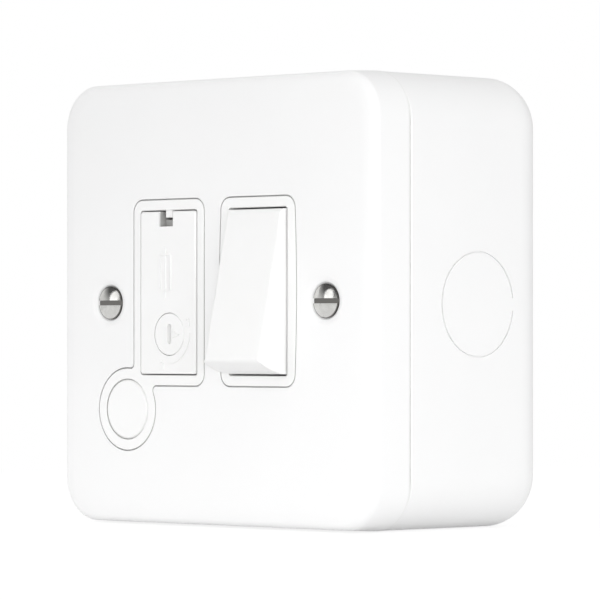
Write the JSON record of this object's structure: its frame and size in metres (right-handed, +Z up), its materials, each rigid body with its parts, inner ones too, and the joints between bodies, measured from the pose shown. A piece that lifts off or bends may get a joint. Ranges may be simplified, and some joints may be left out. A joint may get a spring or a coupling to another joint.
{
  "type": "fused spur unit",
  "caption": "White metalclad fused connection unit on a steel surface box: rocker switch, lockable slide-out fuse carrier and blanked front flex outlet in a crowned plate.",
  "frame": {"origin": "centre of the box's back face, on the wall", "axes": "+X to the right seen from the front, +Y into the wall, +Z up; the front faces -Y"},
  "size_m": [0.088, 0.0565, 0.088],
  "materials": {
    "white_coat": "smooth gloss powder coat",
    "white_moulding": "moulded urea, polished",
    "rocker_plastic": "moulded, polished",
    "carrier_plastic": "moulded, polished",
    "inner_moulding": "moulded, dull",
    "plunger_nylon": "natural nylon",
    "nickel_plate": "bright nickel plate",
    "zinc_screw": "zinc plate",
    "sheet_steel": "bare sheet",
    "spring_steel": "drawn wire and strip",
    "brass": "extruded and stamped",
    "contact_brass": "stamped, with contact rivet",
    "clip_bronze": "sprung bronze strip",
    "terminal_steel": "plated",
    "fuse_ceramic": "unglazed",
    "fuse_cap_plate": "plated brass"
  },
  "bodies": {
    "housing": {"back_box": "white_coat", "body_screws": "zinc_screw", "box_earth_block": "brass", "box_earth_screw": "terminal_steel", "cord_grip_bar": "inner_moulding", "cord_grip_screws": "zinc_screw", "earth_load_terminal": "brass", "earth_strap": "brass", "earth_supply_terminal": "brass", "flex_outlet_blank": "white_moulding", "front_moulding": "white_moulding", "front_plate": "white_coat", "left_lug": "sheet_steel", "live_bracket": "brass", "live_fixed_contact": "brass", "live_load_terminal": "brass", "live_supply_terminal": "brass", "lower_fuse_clip": "clip_bronze", "neutral_bracket": "brass", "neutral_fixed_contact": "brass", "neutral_load_terminal": "brass", "neutral_supply_terminal": "brass", "plate_screws": "nickel_plate", "rear_moulding": "inner_moulding", "right_lug": "sheet_steel", "stud_washers": "spring_steel", "terminal_screws": "terminal_steel", "upper_fuse_clip": "clip_bronze"},
    "rocker": {"rocker": "rocker_plastic", "plungers": "plunger_nylon", "plunger_springs": "spring_steel"},
    "live_contact": {"live_moving_contact": "contact_brass"},
    "neutral_contact": {"neutral_moving_contact": "contact_brass"},
    "fuse_carrier": {"fuse_carrier": "carrier_plastic", "fuse_body": "fuse_ceramic", "fuse_caps": "fuse_cap_plate"},
    "fuse_lock": {"fuse_lock": "carrier_plastic"}
  },
  "joints": [
    {"name": "rocker_turn", "type": "hinge", "parent": "housing", "child": "rocker", "pos_m": [0.0122, -0.048, 0.0019], "axis": [1, 0, 0], "range_deg": [0, 25]},
    {"name": "live_contact_turn", "type": "hinge", "parent": "housing", "child": "live_contact", "pos_m": [0.008, -0.0362, 0.0019], "axis": [1, 0, 0], "range_deg": [-14, 0]},
    {"name": "neutral_contact_turn", "type": "hinge", "parent": "housing", "child": "neutral_contact", "pos_m": [0.0164, -0.0362, 0.0019], "axis": [1, 0, 0], "range_deg": [-14, 0]},
    {"name": "carrier_slide", "type": "slide", "parent": "housing", "child": "fuse_carrier", "axis": [0, -1, 0], "range_m": [0, 0.018]},
    {"name": "lock_turn", "type": "hinge", "parent": "fuse_carrier", "child": "fuse_lock", "pos_m": [-0.01225, -0.0496, -0.0063], "axis": [0, 1, 0], "range_deg": [0, 90]}
  ],
  "couplings": [
    {"joint": "live_contact_turn", "follows": "rocker_turn", "ratio": -0.56},
    {"joint": "neutral_contact_turn", "follows": "rocker_turn", "ratio": -0.56}
  ]
}
